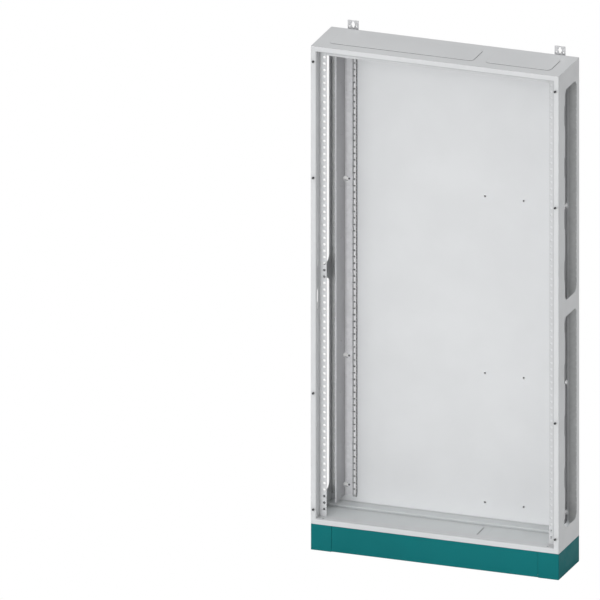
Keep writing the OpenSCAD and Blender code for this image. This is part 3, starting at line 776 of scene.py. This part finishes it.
def plinth():
    """Corner boxes, snap-on covers, and what holds them."""
    t = 2.0
    corner = 80
    bolt_u, bolt_y, foot_u, foot_y = 30, 22, 45, 30
    fold = Fold([(corner, 1), (1, 1), (1, DEPTH - 1), (corner, DEPTH - 1)], [1.8, 1.8])
    wall = rectangle(0, 0, fold.length, BASE)
    top_holes = [circle(bolt_u, y, 10.4) for y in (bolt_y, DEPTH - bolt_y)]
    feet_holes = [circle(foot_u, y, 13) for y in (foot_y, DEPTH - foot_y)]
    tab_fold = Fold([(55, 3), (71, 3), (75, 5), (99, 5)], [2, 2])
    tab = [rectangle(0, -19.5, tab_fold.length, 19.5, 2, 3), circle(tab_fold.s(2, 15), 0, 5.4, 20)]
    pin = [(0, 0), (2.5, 0), (2.5, 5.2), (1.9, 5.6), (1.9, 6.6), (2.4, 7.2), (2.3, 8), (1.2, 10), (0, 10)]
    tabs, bolts, nuts, brackets = [], [], [], []
    pins = {"front": [], "rear": []}
    for name, side in SIDES:
        flat = lambda u, y, z, side=side: on_side(side, u, y, z)
        tray = rounded([(t, t, 1), (corner, t, 0), (corner, 52, 0), (22, 52, 3), (22, DEPTH - 52, 3),
                        (corner, DEPTH - 52, 0), (corner, DEPTH - t, 0), (t, DEPTH - t, 1)], 3)
        solids = [
            sheet([wall], t, flat, fold, edge=(0.3, 1.2), keep=(0, 2)),
            sheet([tray] + top_holes, t, lambda u, y, c, side=side: on_side(side, u, y, BASE - t + c)),
            sheet([tray] + feet_holes, t, lambda u, y, c, side=side: on_side(side, u, y, c)),
        ]
        piece("plinth_side_%s_folded" % name, "cabinet", "teal_paint", TEAL, solids, "plinth_side_" + name)
        x_bolt = side * (bolt_u - HALF)
        for y in (bolt_y, DEPTH - bolt_y):
            bolts.append(turned(hex_body(16, 6.4), along_z(x_bolt, y, BASE - t, -1)))
            bolts.append(turned(thread(10, 11, 1.5), along_z(x_bolt, y, BASE - t - 0.1)))
            nuts.append(turned(hex_body(16, 5.5, 10), along_z(x_bolt, y, BASE + 3)))
        for y in (FRAME, DEPTH - 42):
            hole_y = bolt_y if y < 100 else DEPTH - bolt_y
            plate = [rectangle(SHEET, y, 60, y + 40, 2, 3), circle(bolt_u, hole_y, 10.4)]
            brackets.append(sheet(plate, 3, lambda u, yy, c, side=side: on_side(side, u, yy, BASE + c)))
        for z in PIN_Z:
            for end, y0, way in (("front", 0, 1), ("rear", DEPTH, -1)):
                tabs.append(sheet(tab, t, lambda u, y, h, side=side, z=z, y0=y0, way=way:
                                  on_side(side, u, y0 + way * y, z + h), tab_fold, edge=(0.3, 0.3)))
                pins[end].append(turned(pin, along_y(side * (PIN_U - HALF), y0 + way * t, z, way)))
    piece("base_corner_brackets_plates", "cabinet", ZINC, ZINC_PLATE, brackets, "base_corner_brackets")
    piece("plinth_bolts_hex", "cabinet", ZINC, ZINC_PLATE, bolts, "plinth_bolts")
    piece("plinth_nuts_hex", "cabinet", ZINC, ZINC_PLATE, nuts, "plinth_nuts")
    piece("plinth_cover_tabs_joggled", "cabinet", "teal_paint", TEAL, tabs, "plinth_cover_tabs")

    cover = Fold([(20, 1.5), (1, 1.5), (1, BASE - 1.5), (20, BASE - 1.5)], [1.6, 1.6])
    w = mm_box("plinth_front_cover")[1].x
    bend_a, bend_b = cover.cuts[0], cover.cuts[-1]
    end_u = w - 2                                # the flanges end short of the face
    outline = [(0, -end_u), (bend_a, -end_u), (bend_a, -w), (bend_b, -w), (bend_b, -end_u),
               (cover.length, -end_u), (cover.length, end_u), (bend_b, end_u), (bend_b, w), (bend_a, w),
               (bend_a, end_u), (0, end_u)]
    ends = {2, 8}                                # the edges at the joints, rounded to a groove
    for end, y0, way in (("front", 0, 1), ("rear", DEPTH, -1)):
        solid = sheet([outline], t, lambda y, z, x, y0=y0, way=way: (x, y0 + way * y, z), cover,
                      edge=(0.3, 1.2), keep=set(range(len(outline))) - ends)
        piece("plinth_%s_cover_folded" % end, "%s_plinth_cover" % end, "teal_paint", TEAL, [solid],
              "plinth_%s_cover" % end)
        piece("plinth_%s_pins_turned" % end, "%s_plinth_cover" % end, "dark_steel", DARK_STEEL, pins[end],
              "plinth_%s_pins" % end)


def earthing():
    """The earth stud on the web of the right rear upright, with a washer and two nuts."""
    web_x = HALF - 54
    y, z = 156, BASE + 180
    out = lambda start: (lambda a, b, h: (web_x - start - h, y + a, z + b))
    stud = turned(thread(8, 22, 1.25), out(0))
    piece("earth_stud_threaded", "cabinet", "brass", BRASS, [stud], "earth_stud")
    washer = [(4.2, 0), (7.8, 0), (8, 0.2), (8, 1.3), (7.8, 1.5), (4.2, 1.5), (4.2, 0)]
    nuts = [turned(hex_body(13, 6, 8), out(start)) for start in (2, 11)]
    nuts.append(turned(washer, out(9)))
    piece("earth_nuts_hex", "cabinet", ZINC, ZINC_PLATE, nuts, "earth_nuts")


# ---- studio ----

DOME = 0.165
LOBES = [
    ((0, 0, 1), 2, 1.74),
    ((0, -0.94, 0.342), 40, 8.0),
    ((-0.34, -0.94, 0.05), 40, 9.74),
    ((1, 0, 0), 8, 0.1),
]


def studio_light():
    """White to the camera, and a soft dome with wide soft boxes above, in front and at the front left."""
    world = bpy.data.worlds.new("studio")
    bpy.context.scene.world = world
    world.use_nodes = True
    nt = world.node_tree
    nt.nodes.clear()
    coords = nt.nodes.new("ShaderNodeTexCoord")

    def calc(operation, a, b):
        n = nt.nodes.new("ShaderNodeMath")
        n.operation = operation
        for i, value in enumerate((a, b)):
            if isinstance(value, bpy.types.NodeSocket):
                nt.links.new(value, n.inputs[i])
            else:
                n.inputs[i].default_value = value
        return n.outputs[0]

    total = None
    for direction, power, strength in LOBES:
        dot = nt.nodes.new("ShaderNodeVectorMath")
        dot.operation = "DOT_PRODUCT"
        dot.inputs[1].default_value = Vector(direction).normalized()
        nt.links.new(coords.outputs["Generated"], dot.inputs[0])
        shape = calc("POWER", calc("MAXIMUM", dot.outputs["Value"], 0.0), power)
        lobe = calc("MULTIPLY", shape, strength)
        total = lobe if total is None else calc("ADD", total, lobe)
    light = nt.nodes.new("ShaderNodeBackground")
    nt.links.new(calc("ADD", total, DOME), light.inputs["Strength"])
    seen = nt.nodes.new("ShaderNodeBackground")
    path = nt.nodes.new("ShaderNodeLightPath")
    mix = nt.nodes.new("ShaderNodeMixShader")
    out = nt.nodes.new("ShaderNodeOutputWorld")
    nt.links.new(path.outputs["Is Camera Ray"], mix.inputs[0])
    nt.links.new(light.outputs[0], mix.inputs[1])
    nt.links.new(seen.outputs[0], mix.inputs[2])
    nt.links.new(mix.outputs[0], out.inputs["Surface"])


def camera():
    """A parallel view, turned 20 degrees to the right and 20 degrees from above."""
    cam = bpy.data.cameras.new("camera")
    cam.type = "ORTHO"
    cam.ortho_scale = 2.1834
    cam.clip_end = 60
    obj = bpy.data.objects.new("camera", cam)
    bpy.context.scene.collection.objects.link(obj)
    turn, rise = math.radians(20), math.radians(20)
    back = Vector((math.sin(turn) * math.cos(rise), -math.cos(turn) * math.cos(rise), math.sin(rise)))
    obj.location = Vector((-0.5616, -0.002, 0.918)) + back * 8
    obj.rotation_mode = "QUATERNION"
    obj.rotation_quaternion = (-back).to_track_quat("-Z", "Y")
    bpy.context.scene.camera = obj


def floor():
    """A pale floor that lights the part from below and looks white to the camera."""
    mesh = bpy.data.meshes.new("floor")
    bm = bmesh.new()
    bmesh.ops.create_grid(bm, x_segments=1, y_segments=1, size=30)
    bm.to_mesh(mesh)
    bm.free()
    obj = bpy.data.objects.new("floor", mesh)
    bpy.context.scene.collection.objects.link(obj)
    mat = bpy.data.materials.new("floor")
    mat.use_nodes = True
    nt = mat.node_tree
    shader = nt.nodes["Principled BSDF"]
    shader.inputs["Base Color"].default_value = (0.9, 0.9, 0.9, 1)
    shader.inputs["Roughness"].default_value = 1.0
    shader.inputs["Specular IOR Level"].default_value = 0.0
    glow = nt.nodes.new("ShaderNodeEmission")
    path = nt.nodes.new("ShaderNodeLightPath")
    mix = nt.nodes.new("ShaderNodeMixShader")
    nt.links.new(path.outputs["Is Camera Ray"], mix.inputs[0])
    nt.links.new(shader.outputs[0], mix.inputs[1])
    nt.links.new(glow.outputs[0], mix.inputs[2])
    nt.links.new(mix.outputs[0], nt.nodes["Material Output"].inputs["Surface"])
    obj.data.materials.append(mat)


camera()
floor()
studio_light()
front_frame()
shell()
gland_plates()
rear_frame()
front_studs()
wall_lugs()
plinth()
earthing()
bpy.context.scene.view_settings.view_transform = "Standard"
